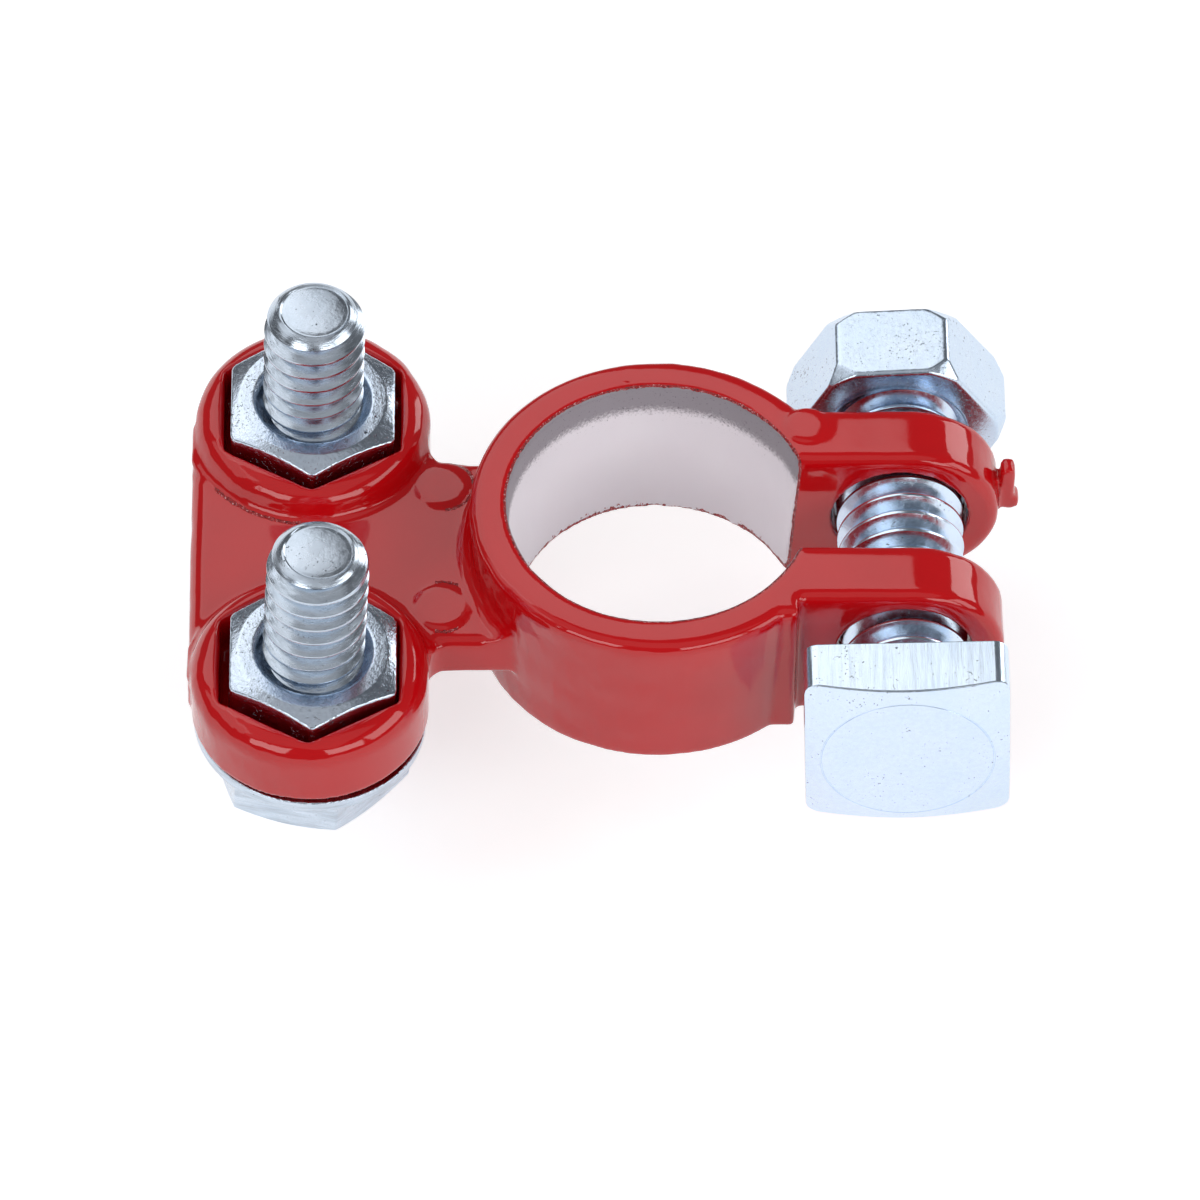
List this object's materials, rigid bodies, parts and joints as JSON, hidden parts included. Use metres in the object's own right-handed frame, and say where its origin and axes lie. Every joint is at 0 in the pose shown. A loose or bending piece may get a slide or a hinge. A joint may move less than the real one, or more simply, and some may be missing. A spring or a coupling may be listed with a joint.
{
  "type": "battery terminal clamp",
  "caption": "Red coated split-collar clamp for a tapered battery post, drawn tight by a square-headed bolt, with a neck whose bolts and captive nuts hold the cable.",
  "frame": {"origin": "on the axis of the post's bore, at the collar's narrow face", "axes": "+Z along the bore towards its wide end, the way the post leaves; +X from the post out along the ears and across the clamp bolt; the cable bolts stand towards -X; -Y is the square head's side"},
  "size_m": [0.0511, 0.0344, 0.0203],
  "materials": {
    "red_coat": "glossy red coat on a zinc die casting, bare inside the bore",
    "zinc_plate": "bright blue-white zinc plate on cold-formed steel"
  },
  "bodies": {
    "casting": {"clamp_casting": "red_coat", "cable_nut_front": "zinc_plate", "cable_nut_back": "zinc_plate"},
    "clamp_bolt": {"clamp_bolt": "zinc_plate"},
    "clamp_nut": {"clamp_nut": "zinc_plate"},
    "front_washer": {"cable_washer_front": "zinc_plate"},
    "front_bolt": {"cable_bolt_front": "zinc_plate"},
    "back_washer": {"cable_washer_back": "zinc_plate"},
    "back_bolt": {"cable_bolt_back": "zinc_plate"}
  },
  "joints": [
    {"name": "clamp_bolt_draw", "type": "slide", "parent": "casting", "child": "clamp_bolt", "axis": [0, 1, 0], "range_m": [-0.0028, 0.0039]},
    {"name": "clamp_nut_turn", "type": "hinge", "parent": "casting", "child": "clamp_nut", "pos_m": [0.01495, 0.0125, 0.0055], "axis": [0, 1, 0], "range_deg": [-1000, 720]},
    {"name": "front_washer_drop", "type": "slide", "parent": "casting", "child": "front_washer", "axis": [0.0506, 0, 0.9987], "range_m": [-0.005, 0]},
    {"name": "front_bolt_turn", "type": "hinge", "parent": "front_washer", "child": "front_bolt", "pos_m": [-0.021, -0.0099, 0.00735], "axis": [0.0506, 0, 0.9987], "range_deg": [-1420, 0]},
    {"name": "back_washer_drop", "type": "slide", "parent": "casting", "child": "back_washer", "axis": [0.0314, 0, 0.9995], "range_m": [-0.005, 0]},
    {"name": "back_bolt_turn", "type": "hinge", "parent": "back_washer", "child": "back_bolt", "pos_m": [-0.0212, 0.0099, 0.00735], "axis": [0.0314, 0, 0.9995], "range_deg": [-1420, 0]}
  ],
  "couplings": [
    {"joint": "clamp_nut_turn", "follows": "clamp_bolt_draw", "rad_per_m": -4452.6},
    {"joint": "front_bolt_turn", "follows": "front_washer_drop", "rad_per_m": 4947.4},
    {"joint": "back_bolt_turn", "follows": "back_washer_drop", "rad_per_m": 4947.4}
  ]
}
